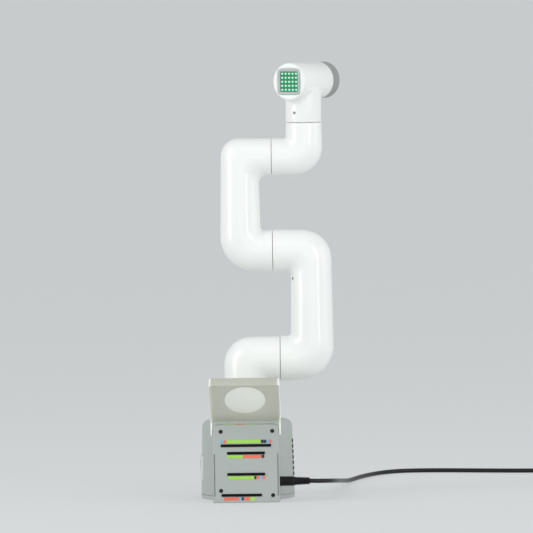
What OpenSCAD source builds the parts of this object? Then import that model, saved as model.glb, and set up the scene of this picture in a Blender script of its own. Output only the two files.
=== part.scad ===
/* [Base] */
// Height of the base housing
base_h = 79.5; // [76:0.5:84]
// Radius of the round housing at its foot
base_r = 47.75; // [46:0.25:50]
// Radius of the housing below its rounded upper edge
base_r_top = 46; // [44:0.25:46.5]
// Radius of the rounded upper edge
base_edge_r = 7; // [5:0.5:8]
// Wall thickness of the base mouldings
base_wall = 2.6; // [2:0.1:3]
// Thickness of the base plate, with its shadow groove
plate_t = 4.6; // [4:0.1:6]

/* [Connector box] */
// Half width of the connector box
box_half_w = 33.8; // [32:0.1:33.8]
// How far the panel face stands in front of the first axis
panel_y = 68; // [66:0.5:70]
// Radius of the box's two upper corners
box_corner_r = 7; // [5:0.5:8]
// Pitch of the header pins
pin_pitch = 2.54; // [2:0.01:2.54]

/* [Dust cover] */
// Length of the cover plate, from near the hinge to its free edge
cover_len = 68; // [60:1:68]
// Half width over the cover's side walls
cover_half_w = 35.6; // [35.6:0.1:37]
// Depth of the cover's walls, plate included
cover_depth = 10.2; // [8:0.1:11]
// Height of the hinge axis
hinge_z = 72; // [70:0.5:73]
// Angle by which the cover stands open at rest, from closed
cover_open = 134; // [120:1:140]

/* [Arm] */
// Height of the shoulder pitch axis
j2_z = 141.8; // [138:0.2:146]
// Distance from the shoulder pitch axis to the elbow axis
upper_len = 110.4; // [106:0.2:120]
// Distance from the elbow axis to the wrist pitch axis
fore_len = 96; // [92:0.5:110]
// Distance from the wrist pitch axis up to the flange axis
head_rise = 77; // [74:0.5:84]
// X of the upper arm's vertical tube
upper_x = 67.9; // [66:0.1:70]
// X of the forearm's vertical tube
fore_x = -3.8; // [-6:0.1:0]
// X of the wrist's vertical tube
wrist_x = 62.2; // [60:0.1:64]
// X of the seam at the shoulder pitch joint
seam2_x = 35.3; // [34:0.1:37]
// X of the seams at the elbow and wrist pitch joints
seam34_x = 29; // [28:0.1:30]
// Wall thickness of the tubes
tube_wall = 2.4; // [1.8:0.1:3]
// Width of the gap at each joint seam
seam_gap = 0.5; // [0.3:0.1:0.8]

/* [Head] */
// Angle of the flange axis, from straight back towards the right
head_turn = 29.5; // [20:0.5:40]
// Radius of the head's horizontal tube
head_r = 19.1; // [18.5:0.1:20]
// Distance from the wrist roll axis to the display face
display_reach = 28.5; // [27:0.5:30]
// Distance from the wrist roll axis to the flange seam
flange_seam = 29.8; // [28:0.2:31]
// Length of the tool flange
flange_len = 13.5; // [10:0.5:16]

/* [Power lead] */
// Diameter of the lead
cord_d = 4.5; // [4:0.1:5]

/* [Hidden] */
$fn = 64;

white = "#f2f3ef";
base_grey = "#afb4b0";
flange_grey = "#969a97";
servo_grey = "#3c3f42";
board_green = "#1d6b4a";
ink = "#101214";
frost = "#d5d8d0";

half_gap = seam_gap / 2;
j3_z = j2_z + upper_len;
j4_z = j3_z + fore_len;
j6_z = j4_z + head_rise;
j5_z = j4_z + 35;

// tube radii, named after the place along the arm
shoulder_r = 22.5;
shoulder_end_r = 22.8;
upper_start_r = 23.6;
upper_low_r = 22;
upper_high_r = 20.9;
elbow_r = 21.8;
fore_low_r = 20.9;
fore_high_r = 19.3;
wrist_end_r = 19;
wrist_bend_r = 18.7;
roll_r = 18.35;

// centre-line radii of the bends
shoulder_bend = 5.6;
upper_low_bend = 13;
upper_high_bend = 8.6;
fore_low_bend = 14.8;
wrist_bend = 9.9;

// joint hardware
end_wall = 2.75;
shaft_r = 4;
shaft_play = 0.05;
horn_disc_t = 2;
big_servo = [28, 26, 30];
small_servo = [22, 22, 25];
boss_r = 7;

eps = 0.01;

/* ---------- shared shapes ---------- */

// rectangle from low to high corner with round corners
module round_rect(x0, x1, y0, y1, r) {
    translate([x0 + r, y0]) square([x1 - x0 - 2 * r, y1 - y0]);
    translate([x0, y0 + r]) square([x1 - x0, y1 - y0 - 2 * r]);
    for (x = [x0 + r, x1 - r], y = [y0 + r, y1 - r]) translate([x, y]) circle(r);
}

// cylinder or cone along X from x0 to x1
module x_leg(x0, x1, z, r0, r1) {
    translate([x0, 0, z]) rotate([0, 90, 0]) cylinder(h = x1 - x0, r1 = r0, r2 = r1);
}

// cylinder or cone along Z from z0 to z1
module z_leg(z0, z1, x, r0, r1) {
    translate([x, 0, z0]) cylinder(h = z1 - z0, r1 = r0, r2 = r1);
}

// quarter bend around [x, z] in the XZ plane, starting at angle a0 from +X
module bend(x, z, r, bend_r, a0) {
    translate([x, 0, z]) rotate([90, 0, 0]) rotate([0, 0, a0]) rotate_extrude(angle = 90)
        intersection() {
            translate([bend_r, 0]) circle(r);
            translate([0, -r]) square([bend_r + r, 2 * r]);
        }
}

// the half of the children in front of or behind the plane of the tubes
module half(front) {
    intersection() {
        children();
        translate([-60, front ? -60 : 0, 0]) cube([180, 60, 500]);
    }
}

// a servo below z = 0, with its output boss standing up through the end wall
module servo(size) {
    color(servo_grey) difference() {
        union() {
            translate([-size[0] / 2, -size[1] / 2, -size[2]]) cube(size);
            cylinder(h = end_wall - 0.15, r = boss_r);
        }
        translate([0, 0, -9]) cylinder(h = 20, r = shaft_r + shaft_play);
    }
}

// output shaft and disc; z = 0 is the servo's face, the disc lies on the next end wall
module horn(disc_r) {
    z_disc = 2 * end_wall + seam_gap;
    color("#c9ccce") {
        translate([0, 0, -8.5]) cylinder(h = z_disc + 8.5 + eps, r = shaft_r);
        translate([0, 0, z_disc]) difference() {
            cylinder(h = horn_disc_t, r = disc_r);
            for (a = [45:90:315]) rotate([0, 0, a]) translate([disc_r - 3, 0, -1])
                cylinder(h = horn_disc_t + 2, r = 1);
        }
    }
}

// hole of an end wall: round the servo's boss, or round the shaft
boss_hole_r = boss_r + 0.3;
shaft_hole_r = shaft_r + 1;

screw_sink = 1.2;
screw_head_h = 1.4;

// a screw driven forward from behind, where the tube's outside is half_w from the middle
module rear_screw(x, z, half_w) {
    color("#44484b") translate([x, half_w - screw_sink, z]) rotate([90, 0, 0]) difference() {
        union() {
            cylinder(h = screw_head_h, r = 2);
            cylinder(h = half_w + 4.5, r = 1);
        }
        translate([0, 0, -1]) cylinder(h = 1.8, r = 0.9, $fn = 6);
    }
}

// the hole and seat that a rear screw needs
module rear_screw_hole(x, z, half_w) {
    translate([x, half_w + 2, z]) rotate([90, 0, 0])
        cylinder(h = 2 + screw_sink + screw_head_h, r = 2.1);
    translate([x, half_w, z]) rotate([90, 0, 0]) cylinder(h = half_w + 6, r = 1.05);
}

// a post across a tube that the rear screw bites into
module screw_post(x, z, half_w) {
    translate([x, half_w - 1, z]) rotate([90, 0, 0]) cylinder(h = 2 * half_w - 2, r = 3);
}

/* ---------- base ---------- */

// outline of the round housing from low up: drafted side, rounded upper edge
module housing_profile(inset, low) {
    edge = base_edge_r - inset;
    flat_r = base_r_top - base_edge_r;
    z_edge = base_h - base_edge_r;
    polygon([[0, low], [base_r - inset, low], [base_r - inset, plate_t],
        [base_r_top - inset, z_edge], [flat_r, z_edge + edge], [0, z_edge + edge]]);
    translate([flat_r, z_edge]) intersection() {
        circle(edge);
        square(edge);
    }
}

// outer or inner skin of the round housing
module housing_body(inset, low) {
    rotate_extrude() housing_profile(inset, low);
}

base_bolt_xy = 25;
foot_xy = 30;
foot_r = 4.5;
m4_hole_r = 2.15;

module base_plate() {
    color(base_grey) difference() {
        union() {
            cylinder(h = plate_t - 0.6, r = base_r - 0.2);
            cylinder(h = plate_t, r = base_r - 0.9);
            // lip that centres the housing
            translate([0, 0, plate_t]) difference() {
                cylinder(h = 2, r = base_r - base_wall - 0.4);
                translate([0, 0, -1]) cylinder(h = 4, r = base_r - base_wall - 2.4);
            }
        }
        for (x = [-1, 1], y = [-1, 1]) {
            translate([x * base_bolt_xy, y * base_bolt_xy, -1])
                cylinder(h = plate_t + 2, r = m4_hole_r);
            translate([x * foot_xy, y * foot_xy, -1]) cylinder(h = 2, r = foot_r);
        }
    }
}

module rubber_pads() {
    color("#2b2d2f") for (x = [-1, 1], y = [-1, 1])
        translate([x * foot_xy, y * foot_xy, 0]) cylinder(h = 1, r = foot_r);
}

// radius of the drafted housing at a height
function r_at(z) = base_r - (base_r - base_r_top) * (z - plate_t)
    / (base_h - base_edge_r - plate_t);

// left side: a wide window with a white block, flat outside, and a dark socket in it
left_y = 0;
left_face = 47.9;
left_block = [26, 18.6, 43.6];
left_socket_z = [31.2, 39];
// right side sockets: a column of them
right_y = -2;
right_port_zs = [for (i = [0:6]) 24 + 5.6 * i];
right_port_size = [11, 3.4];

module side_window(x, y, z, w, h, depth) {
    translate([x - depth / 2, y - w / 2, z - h / 2]) cube([depth, w, h]);
}

j1_ring_r = 23.5;
j1_seam_z = base_h + 1.2;

module base_housing() {
    color(base_grey) difference() {
        union() {
            difference() {
                housing_body(0, 0);
                housing_body(base_wall, -1);
                translate([-60, -60, -2]) cube([120, 120, plate_t + 2.1]);
            }
            translate([0, 0, base_h - 1]) cylinder(h = 2.2 - half_gap, r = j1_ring_r);
            translate([0, 0, base_h - base_wall - 3])
                cylinder(h = base_wall + 2, r = j1_ring_r);
        }
        // the first servo's boss
        translate([0, 0, base_h - 12]) cylinder(h = 30, r = boss_hole_r);
        // opening behind the connector box
        translate([-27, -60, 12]) cube([54, 26, 52]);
        side_window(-46, left_y, (left_block[1] + left_block[2]) / 2, left_block[0] + 0.3,
            left_block[2] - left_block[1] + 0.3, 10);
        for (z = right_port_zs)
            side_window(46, right_y, z, right_port_size[0] + 0.3, right_port_size[1] + 0.3, 10);
    }
}

module left_ports() {
    y0 = left_y - left_block[0] / 2;
    color("#e8ebe6") difference() {
        translate([-left_face, y0, left_block[1]])
            cube([9.8, left_block[0], left_block[2] - left_block[1]]);
        translate([-60, y0 + 1.4, left_socket_z[0] - 0.1])
            cube([40, left_block[0] - 2.8, left_socket_z[1] - left_socket_z[0] + 0.2]);
        for (z = [20.4, 25.4]) translate([-60, y0 + 1.4, z])
            cube([18, left_block[0] - 2.8, 3.8]);
    }
}

module left_socket() {
    y0 = left_y - left_block[0] / 2;
    color("#3a3d40") difference() {
        translate([-left_face - 0.2, y0 + 1.5, left_socket_z[0]])
            cube([8.6, left_block[0] - 3, left_socket_z[1] - left_socket_z[0]]);
        translate([-60, y0 + 2.5, left_socket_z[0] + 1])
            cube([18, left_block[0] - 5, left_socket_z[1] - left_socket_z[0] - 2]);
    }
}

module right_ports() {
    color("#22262a") for (z = right_port_zs) translate([0, right_y, z]) difference() {
        translate([38, -right_port_size[0] / 2, -right_port_size[1] / 2])
            cube([r_at(z) + 0.4 - 38, right_port_size[0], right_port_size[1]]);
        translate([42, -right_port_size[0] / 2 + 0.8, -right_port_size[1] / 2 + 0.8])
            cube([10, right_port_size[0] - 1.6, right_port_size[1] - 1.6]);
    }
}

board_t = 1.6;

// upright control board between the two columns of ports
module main_board() {
    color(board_green) translate([-37.5, -1, 8]) difference() {
        cube([75, board_t, 34.5]);
        for (x = [4, 71], z = [4, 30.5]) translate([x, -1, z]) rotate([-90, 0, 0])
            cylinder(h = 4, r = 1.6);
    }
    color("#202326") translate([-12, -1 - 1.4, 18]) cube([16, 1.4, 16]);
    color("#202326") translate([12, -1 - 1, 20]) cube([9, 1, 12]);
}

module base_servo() {
    translate([0, 0, base_h - base_wall - 3]) servo(big_servo);
}

/* ---------- connector box ---------- */

// header rows: first pin's left edge, height of the row, number of pins
header_rows = [[-25.4, 58.1, 20], [-19.1, 50.4, 15], [-19.1, 28.9, 15], [-25.2, 7.6, 16]];
header_h = 2.6;
header_proud = 0.9;
header_depth = 8.5;
board_y = -panel_y + header_depth - header_proud;
panel_screw_xz = [[-25.4, 72.4], [26.9, 72.6], [-25.8, 12.2], [26.9, 7.2]];
panel_screw_r = 1.75;
pin_r = 1.5;
hinge_y = -panel_y + 3.8;
plug_y = -58;
plug_z = 20.6;
socket_r = 4.6;

module box_profile(inset) {
    w = box_half_w - inset;
    r = box_corner_r - inset;
    translate([-w, inset]) square([2 * w, base_h - r - 2 * inset]);
    translate([-w + r, inset]) square([2 * w - 2 * r, base_h - 2 * inset]);
    for (x = [-w + r, w - r]) translate([x, base_h - inset - r]) circle(r);
}

module header_window(row, play) {
    translate([row[0] - play, -panel_y - header_proud, row[1] - header_h / 2 - play])
        cube([row[2] * pin_pitch + 2 * play, header_depth, header_h + 2 * play]);
}

// the box's walls run back into the round housing
box_back = 31;

module connector_box() {
    color(base_grey) difference() {
        translate([0, -box_back, 0]) rotate([90, 0, 0]) linear_extrude(panel_y - box_back)
            box_profile(0);
        difference() {
            translate([0, -box_back + 2, 0]) rotate([90, 0, 0])
                linear_extrude(panel_y - box_back + 2 - base_wall) box_profile(base_wall);
            // thicker walls where the hinge pins turn
            for (s = [-1, 1]) translate([s * (box_half_w - 3), hinge_y, hinge_z])
                rotate([0, 90, 0]) cylinder(h = 3, r = 4, center = true);
        }
        housing_body(0, -1);
        for (row = header_rows) header_window(row, 0.1);
        for (s = panel_screw_xz) translate([s[0], -panel_y - 1, s[1]]) rotate([-90, 0, 0]) {
            cylinder(h = 1.6, r = panel_screw_r + 0.1);
            cylinder(h = 6, r = 1.1);
        }
        // shallow grooves beside the header field
        for (x = [-1, 1]) translate([x * 32.2 - 0.6, -panel_y - 1, 6.5]) cube([1.2, 2.4, 43]);
        // bores for the hinge pins
        translate([0, hinge_y, hinge_z]) rotate([0, 90, 0])
            cylinder(h = 80, r = pin_r + shaft_play, center = true);
        // power socket hole in the right wall
        translate([25, plug_y, plug_z]) rotate([0, 90, 0]) cylinder(h = 20, r = socket_r);
    }
}

module panel_screws() {
    color(ink) for (s = panel_screw_xz) translate([s[0], -panel_y - 0.2, s[1]])
        rotate([-90, 0, 0]) difference() {
            union() {
                cylinder(h = 0.75, r = panel_screw_r);
                cylinder(h = 4.6, r = 1);
            }
            translate([0, 0, -1]) cylinder(h = 1.5, r = 0.8, $fn = 6);
        }
}

// the board behind the headers, cut away beside the power socket
module pin_board() {
    color(board_green) difference() {
        translate([-30, board_y, 4]) cube([60, board_t, 63]);
        translate([23, board_y - 1, 13]) cube([8, board_t + 2, 14]);
    }
}

module header_row(row) {
    color(ink) difference() {
        header_window(row, 0);
        for (i = [0:row[2] - 1])
            translate([row[0] + (i + 0.5) * pin_pitch - 0.4, -panel_y - 2, row[1] - 0.4])
                cube([0.8, 4.5, 0.8]);
    }
}

module header_row_1() { header_row(header_rows[0]); }
module header_row_2() { header_row(header_rows[1]); }
module header_row_3() { header_row(header_rows[2]); }
module header_row_4() { header_row(header_rows[3]); }

label_h = 3.3;
label_t = 0.25;
label_z = [62.2, 46.9, 25.4, 4];
// colour fields beside the headers: row, left edge, right edge
green_fields = [[0, -19.7, 15], [1, -19, -3.2], [2, -18.2, 7.9], [3, 3.5, 8.8]];
red_fields = [[0, -22.4, -19.8], [0, 23.4, 26], [1, -3, 15.6], [2, 10.3, 13.4],
    [2, 16.4, 19.3], [3, -23.1, -7.6], [3, -2.8, 3.3]];
blue_fields = [[0, -24.9, -22.5], [0, 21, 23.3], [2, 13.6, 15.9], [3, -7.5, -5.2]];
dark_fields = [[0, 15.2, 20.8], [1, 15.8, 18.6], [2, 8, 10.2], [3, -5.1, -2.9]];
roof_fields = [[-21.3, -10.2, 0], [-10.2, -0.6, 1], [-0.6, 10.4, 0]];
roof_label_h = 1.9;

module fields(list) {
    for (f = list) translate([f[1], -panel_y - label_t, label_z[f[0]] - label_h / 2])
        cube([f[2] - f[1], label_t, label_h]);
}

module roof_strip(kind) {
    for (f = roof_fields) if (f[2] == kind)
        translate([f[0], -panel_y + 1, base_h]) cube([f[1] - f[0], 2, roof_label_h]);
}

module labels_green() { color("#9ade4f") { fields(green_fields); roof_strip(0); } }
module labels_red() { color("#ef7f68") { fields(red_fields); roof_strip(1); } }
module labels_blue() { color("#5aa9d8") fields(blue_fields); }
module labels_dark() { color("#26343a") fields(dark_fields); }

plug_barrel_r = 2.7;
plug_barrel_len = 9;

module dc_socket() {
    color("#1c1f22") translate([24, plug_y, plug_z]) rotate([0, 90, 0]) difference() {
        union() {
            translate([-5, -2.6, 0]) cube([10, 6, box_half_w - base_wall - 24]);
            cylinder(h = box_half_w - 24, r = socket_r - 0.1);
        }
        translate([0, 0, -1]) cylinder(h = 20, r = plug_barrel_r + shaft_play);
    }
}

/* ---------- dust cover ---------- */

cover_plate_t = 1.8;
cover_face = 14.5;
cover_wall = 1.5;
cover_start = 0.4;
ear_r = 4.2;
window_r = 21.35;

// modelled closed: the hinge axis is X, the plate hangs down in front of the panel
module place_cover() {
    translate([0, hinge_y, hinge_z]) rotate([-cover_open, 0, 0]) children();
}

module dust_cover() {
    color(frost) place_cover() {
        difference() {
            translate([-cover_half_w, -cover_face, -cover_len])
                cube([2 * cover_half_w, cover_depth, cover_len - cover_start]);
            translate([-cover_half_w + cover_wall, -cover_face + cover_plate_t,
                -cover_len + cover_wall])
                cube([2 * (cover_half_w - cover_wall), cover_depth, cover_len]);
            translate([0, -cover_face + 0.6, -cover_len / 2 - 1]) rotate([90, 0, 0])
                cylinder(h = 2, r = window_r);
        }
        for (s = [-1, 1]) translate([s * (cover_half_w - cover_wall / 2), 0, 0])
            rotate([0, 90, 0]) linear_extrude(cover_wall, center = true) union() {
                circle(ear_r);
                polygon([[-ear_r * 0.6, -ear_r * 0.8], [cover_start, -cover_face],
                    [16, -cover_face], [16, -cover_face + cover_depth], [ear_r, 0]]);
            }
    }
}

module cover_window() {
    color("#dfe2dc") place_cover() translate([0, -cover_face + 0.6, -cover_len / 2 - 1])
        rotate([90, 0, 0]) cylinder(h = 0.6, r = window_r - 0.05);
}

module cover_hinge_pins() {
    color("#b9bcb6") place_cover() for (s = [-1, 1])
        translate([s * (cover_half_w - cover_wall - 1.7), 0, 0]) rotate([0, 90, 0])
            cylinder(h = 3.4, r = pin_r, center = true);
}

/* ---------- shoulder: yaw tube that turns sideways ---------- */

module shoulder_form(w) {
    c = shoulder_bend;
    e = w > 0 ? end_wall : 0;
    z_leg(j1_seam_z + half_gap + e, j2_z - c, 0, shoulder_r - w, shoulder_r - w);
    bend(c, j2_z - c, shoulder_r - w, c, 90);
    x_leg(c, seam2_x - half_gap - e, j2_z, shoulder_r - w, shoulder_end_r - w);
}

shoulder_posts = [[0, 106, 22.5], [-13, 141.8, 17.8]];

module shoulder_shell() {
    difference() {
        union() {
            difference() {
                shoulder_form(0);
                shoulder_form(tube_wall);
            }
            for (p = shoulder_posts) screw_post(p[0], p[1], p[2]);
        }
        z_leg(j1_seam_z, j1_seam_z + 6, 0, shaft_hole_r, shaft_hole_r);
        x_leg(seam2_x - 6, seam2_x, j2_z, boss_hole_r, boss_hole_r);
        for (p = shoulder_posts) rear_screw_hole(p[0], p[1], p[2]);
    }
}

module shoulder_front_shell() { color(white) half(true) shoulder_shell(); }
module shoulder_rear_shell() { color(white) half(false) shoulder_shell(); }

module shoulder_horn() {
    translate([0, 0, j1_seam_z - half_gap - end_wall]) horn(18);
}

module shoulder_servo() {
    color(servo_grey) translate([seam2_x - half_gap - end_wall, 0, j2_z])
        rotate([0, 90, 0]) servo(big_servo);
}

module shoulder_screws() { for (p = shoulder_posts) rear_screw(p[0], p[1], p[2]); }

/* ---------- upper arm ---------- */

module upper_arm_form(w) {
    a = upper_low_bend;
    b = upper_high_bend;
    e = w > 0 ? end_wall : 0;
    x_leg(seam2_x + half_gap + e, upper_x - a, j2_z, upper_start_r - w, upper_low_r - w);
    bend(upper_x - a, j2_z + a, upper_low_r - w, a, 270);
    z_leg(j2_z + a, j3_z - b, upper_x, upper_low_r - w, upper_high_r - w);
    bend(upper_x - b, j3_z - b, upper_high_r - w, b, 0);
    x_leg(seam34_x + half_gap + e, upper_x - b, j3_z, elbow_r - w, upper_high_r - w);
}

upper_posts = [[75, 142.5, 19.3], [upper_x, 186, 21.6], [upper_x, 214, 21.27]];
side_screw_z = j3_z - 28.3;
side_screw_turn = 26;

// local frame of the small screw in the upper arm's left flank
module at_side_screw() {
    translate([upper_x, 0, side_screw_z]) rotate([0, 0, side_screw_turn])
        translate([-upper_high_r - 0.2, 0, 0]) rotate([0, 90, 0]) children();
}

module upper_arm_shell() {
    difference() {
        union() {
            difference() {
                upper_arm_form(0);
                upper_arm_form(tube_wall);
            }
            for (p = upper_posts) screw_post(p[0], p[1], p[2]);
        }
        x_leg(seam2_x, seam2_x + 6, j2_z, shaft_hole_r, shaft_hole_r);
        x_leg(seam34_x, seam34_x + 6, j3_z, boss_hole_r, boss_hole_r);
        for (p = upper_posts) rear_screw_hole(p[0], p[1], p[2]);
        at_side_screw() cylinder(h = 8, r = 1.1);
        at_side_screw() translate([0, 0, -2]) cylinder(h = 3.2, r = 1.6);
    }
}

module upper_arm_front_shell() { color(white) half(true) upper_arm_shell(); }
module upper_arm_rear_shell() { color(white) half(false) upper_arm_shell(); }

module upper_arm_horn() {
    translate([seam2_x - half_gap - end_wall, 0, j2_z]) rotate([0, 90, 0]) horn(17);
}

module elbow_servo() {
    translate([seam34_x + half_gap + end_wall, 0, j3_z]) rotate([0, -90, 0])
        servo(big_servo);
}

module upper_arm_screws() {
    for (p = upper_posts) rear_screw(p[0], p[1], p[2]);
    color("#6d7173") at_side_screw() translate([0, 0, 0.6]) {
        cylinder(h = 0.6, r = 1.5);
        cylinder(h = 4, r = 1);
    }
}

/* ---------- forearm ---------- */

module forearm_form(w) {
    a = fore_low_bend;
    e = w > 0 ? end_wall : 0;
    x_leg(fore_x + a, seam34_x - half_gap - e, j3_z, fore_low_r - w, elbow_r - w);
    bend(fore_x + a, j3_z + a, fore_low_r - w, a, 180);
    z_leg(j3_z + a, j4_z, fore_x, fore_low_r - w, fore_high_r - w);
    bend(fore_x, j4_z, fore_high_r - w, 0, 90);
    x_leg(fore_x, seam34_x - half_gap - e, j4_z, fore_high_r - w, wrist_end_r - w);
}

fore_posts = [[-9, 251, 17.9], [fore_x, 290, 20.45], [fore_x, 318, 19.9]];

module forearm_shell() {
    difference() {
        union() {
            difference() {
                forearm_form(0);
                forearm_form(tube_wall);
            }
            for (p = fore_posts) screw_post(p[0], p[1], p[2]);
        }
        x_leg(seam34_x - 6, seam34_x, j3_z, shaft_hole_r, shaft_hole_r);
        x_leg(seam34_x - 6, seam34_x, j4_z, boss_hole_r, boss_hole_r);
        for (p = fore_posts) rear_screw_hole(p[0], p[1], p[2]);
    }
}

module forearm_front_shell() { color(white) half(true) forearm_shell(); }
module forearm_rear_shell() { color(white) half(false) forearm_shell(); }

module forearm_horn() {
    translate([seam34_x + half_gap + end_wall, 0, j3_z]) rotate([0, -90, 0]) horn(16);
}

module wrist_servo() {
    translate([seam34_x - half_gap - end_wall, 0, j4_z]) rotate([0, 90, 0])
        servo(small_servo);
}

module forearm_screws() { for (p = fore_posts) rear_screw(p[0], p[1], p[2]); }

/* ---------- wrist ---------- */

module wrist_form(w) {
    c = wrist_bend;
    e = w > 0 ? end_wall : 0;
    x_leg(seam34_x + half_gap + e, wrist_x - c, j4_z, wrist_end_r - w, wrist_bend_r - w);
    bend(wrist_x - c, j4_z + c, wrist_bend_r - w, c, 270);
    z_leg(j4_z + c, j5_z - half_gap - e, wrist_x, wrist_bend_r - w, roll_r - w);
}

wrist_posts = [[42, j4_z, 18.85], [62, 344, 17.3]];

module wrist_shell() {
    difference() {
        union() {
            difference() {
                wrist_form(0);
                wrist_form(tube_wall);
            }
            for (p = wrist_posts) screw_post(p[0], p[1], p[2]);
        }
        x_leg(seam34_x, seam34_x + 6, j4_z, shaft_hole_r, shaft_hole_r);
        z_leg(j5_z - 6, j5_z, wrist_x, boss_hole_r, boss_hole_r);
        for (p = wrist_posts) rear_screw_hole(p[0], p[1], p[2]);
    }
}

module wrist_front_shell() { color(white) half(true) wrist_shell(); }
module wrist_rear_shell() { color(white) half(false) wrist_shell(); }

module wrist_horn() {
    translate([seam34_x - half_gap - end_wall, 0, j4_z]) rotate([0, 90, 0]) horn(14);
}

module roll_servo() {
    translate([wrist_x, 0, j5_z - half_gap - end_wall]) servo([22, 22, 22]);
}

module wrist_screws() { for (p = wrist_posts) rear_screw(p[0], p[1], p[2]); }

/* ---------- head ---------- */

// local frame: +Z along the flange axis, away from the display; X stays level
module at_head() {
    translate([wrist_x, 0, j6_z]) rotate([0, 0, -head_turn]) rotate([-90, 0, 0])
        children();
}

cap_t = 3.2;
case_half = 13.2;
case_corner_r = 2.5;
case_depth = 7;
screen_half = 10.3;
led_pitch = 4.1;
led_r = 0.85;
neck_low = j5_z + half_gap;

module head_form(w) {
    e = w > 0 ? end_wall : 0;
    z_leg(neck_low + e, j6_z, wrist_x, roll_r - w, roll_r - w);
    at_head() translate([0, 0, -display_reach + (w > 0 ? -eps : cap_t)])
        cylinder(h = display_reach + flange_seam - half_gap - e - (w > 0 ? -eps : cap_t),
            r = head_r - w);
}

neck_screw_z = 10;

// small screws: one low on the neck below the display, one on top of the head
module at_neck_screw() {
    translate([wrist_x, 0, j5_z + neck_screw_z]) rotate([0, 0, -head_turn])
        translate([0, -roll_r - 0.2, 0]) rotate([-90, 0, 0]) children();
}

module at_top_screw() {
    at_head() translate([0, -head_r - 0.2, 5]) rotate([-90, 0, 0]) children();
}

module small_screw_hole() {
    cylinder(h = 7, r = 1.1);
    translate([0, 0, -2]) cylinder(h = 3.2, r = 1.6);
}

module small_screw() {
    translate([0, 0, 0.6]) {
        cylinder(h = 0.6, r = 1.5);
        cylinder(h = 4, r = 1);
    }
}

module head_shell() {
    color(white) difference() {
        head_form(0);
        head_form(tube_wall);
        z_leg(j5_z, j5_z + 6, wrist_x, shaft_hole_r, shaft_hole_r);
        at_head() translate([0, 0, flange_seam - 6]) cylinder(h = 8, r = boss_hole_r);
        at_neck_screw() small_screw_hole();
        at_top_screw() small_screw_hole();
    }
}

module head_horn() {
    translate([wrist_x, 0, j5_z - half_gap - end_wall]) horn(14);
}

module flange_servo() {
    at_head() translate([0, 0, flange_seam - half_gap - end_wall]) servo(small_servo);
}

module case_outline(inset) {
    round_rect(-case_half + inset, case_half - inset, -case_half + inset,
        case_half - inset, case_corner_r);
}

// round white end cap with a square window for the display
module display_cap() {
    color(white) at_head() translate([0, 0, -display_reach]) difference() {
        union() {
            cylinder(h = cap_t, r = head_r);
            translate([0, 0, cap_t]) cylinder(h = 3, r = head_r - tube_wall - 0.05);
        }
        translate([0, 0, -1]) linear_extrude(10) case_outline(-0.05);
    }
}

module display_case() {
    color(flange_grey) at_head() translate([0, 0, -display_reach - 0.4]) difference() {
        union() {
            linear_extrude(cap_t + 0.35) case_outline(0);
            // behind the cap its corners are rounded off inside the tube
            intersection() {
                linear_extrude(case_depth) case_outline(0);
                cylinder(h = case_depth, r = head_r - tube_wall - 0.1);
            }
        }
        translate([0, 0, -1]) linear_extrude(case_depth - 1)
            round_rect(-screen_half, screen_half, -screen_half, screen_half, 1);
    }
}

module display_board() {
    color("#0f8a5f") at_head() translate([0, 0, -display_reach + 1]) linear_extrude(1.2)
        round_rect(-screen_half + 0.05, screen_half - 0.05, -screen_half + 0.05,
            screen_half - 0.05, 1);
}

module display_leds() {
    color("#e9fff2") at_head() translate([0, 0, -display_reach + 0.3])
        for (i = [-2:2], j = [-2:2]) translate([i * led_pitch, j * led_pitch, 0])
            cylinder(h = 0.7, r = led_r);
}

module head_screws() {
    color("#6d7173") {
        at_neck_screw() small_screw();
        at_top_screw() small_screw();
    }
}

/* ---------- tool flange ---------- */

flange_r = 18.7;
flange_bore_r = 6;
flange_pcd = 26;
flange_bolt_r = 1.65;

module tool_flange() {
    color(flange_grey) at_head() translate([0, 0, flange_seam + half_gap]) difference() {
        cylinder(h = flange_len, r = flange_r);
        translate([0, 0, end_wall]) cylinder(h = flange_len - end_wall - 4, r = flange_r - 2.4);
        translate([0, 0, -1]) cylinder(h = end_wall + 2, r = shaft_hole_r);
        translate([0, 0, flange_len - 5]) cylinder(h = 6, r = flange_bore_r);
        for (a = [0:90:270]) rotate([0, 0, a + 45]) translate([flange_pcd / 2, 0, flange_len - 5])
            cylinder(h = 6, r = flange_bolt_r);
    }
}

module flange_horn() {
    at_head() translate([0, 0, flange_seam - half_gap - end_wall]) horn(14);
}

/* ---------- power lead ---------- */

plug_len = 14.5;
plug_r = 5;
relief_len = 16;
relief_end = box_half_w + plug_len + relief_len;
table_z = cord_d / 2;
coil_x = 348;
coil_y = 280;
cord_route = [[relief_end, plug_y, plug_z], [68, -57.9, 20.5], [73, -56.8, 20.3],
    [79, -53, 20], [84, -46, 19.4], [87.5, -36, 18.6], [90, -22, 17.4], [91.5, -5, 15.9],
    [92.5, 15, 14.2], [93.5, 38, 12.3], [94.5, 62, 10.2], [96, 86, 8.1], [97.5, 110, 6.1],
    [99.5, 132, 4.2], [102.5, 153, 2.8], [106.5, 173, 2.25], [112.5, 195, 2.25],
    [120, 217, 2.25], [129.5, 238, 2.25], [141, 255, 2.25], [155, 266, 2.25],
    [172, 270, 2.25], [195, 269, 2.25], [222, 264, 2.25], [250, 257.5, 2.25],
    [278, 252, 2.25], [305, 249.2, 2.25], [coil_x - 15, 248.6, 2.25]];
coil_inner_r = 17.4;
coil_outer_r = 33.8;
adapter_x = coil_x + 31.5;
adapter_y = 336.5;
adapter_size = [44, 66, 28];
adapter_relief_len = 18;
adapter_cord_z = 7.5;
tail_route = [[adapter_x, coil_y - 2, 6.75], [adapter_x, coil_y + 8, 6.75],
    [adapter_x, coil_y + 18, 6.9], [adapter_x, coil_y + 29, 7.3],
    [adapter_x, adapter_y - adapter_relief_len, adapter_cord_z]];

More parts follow.
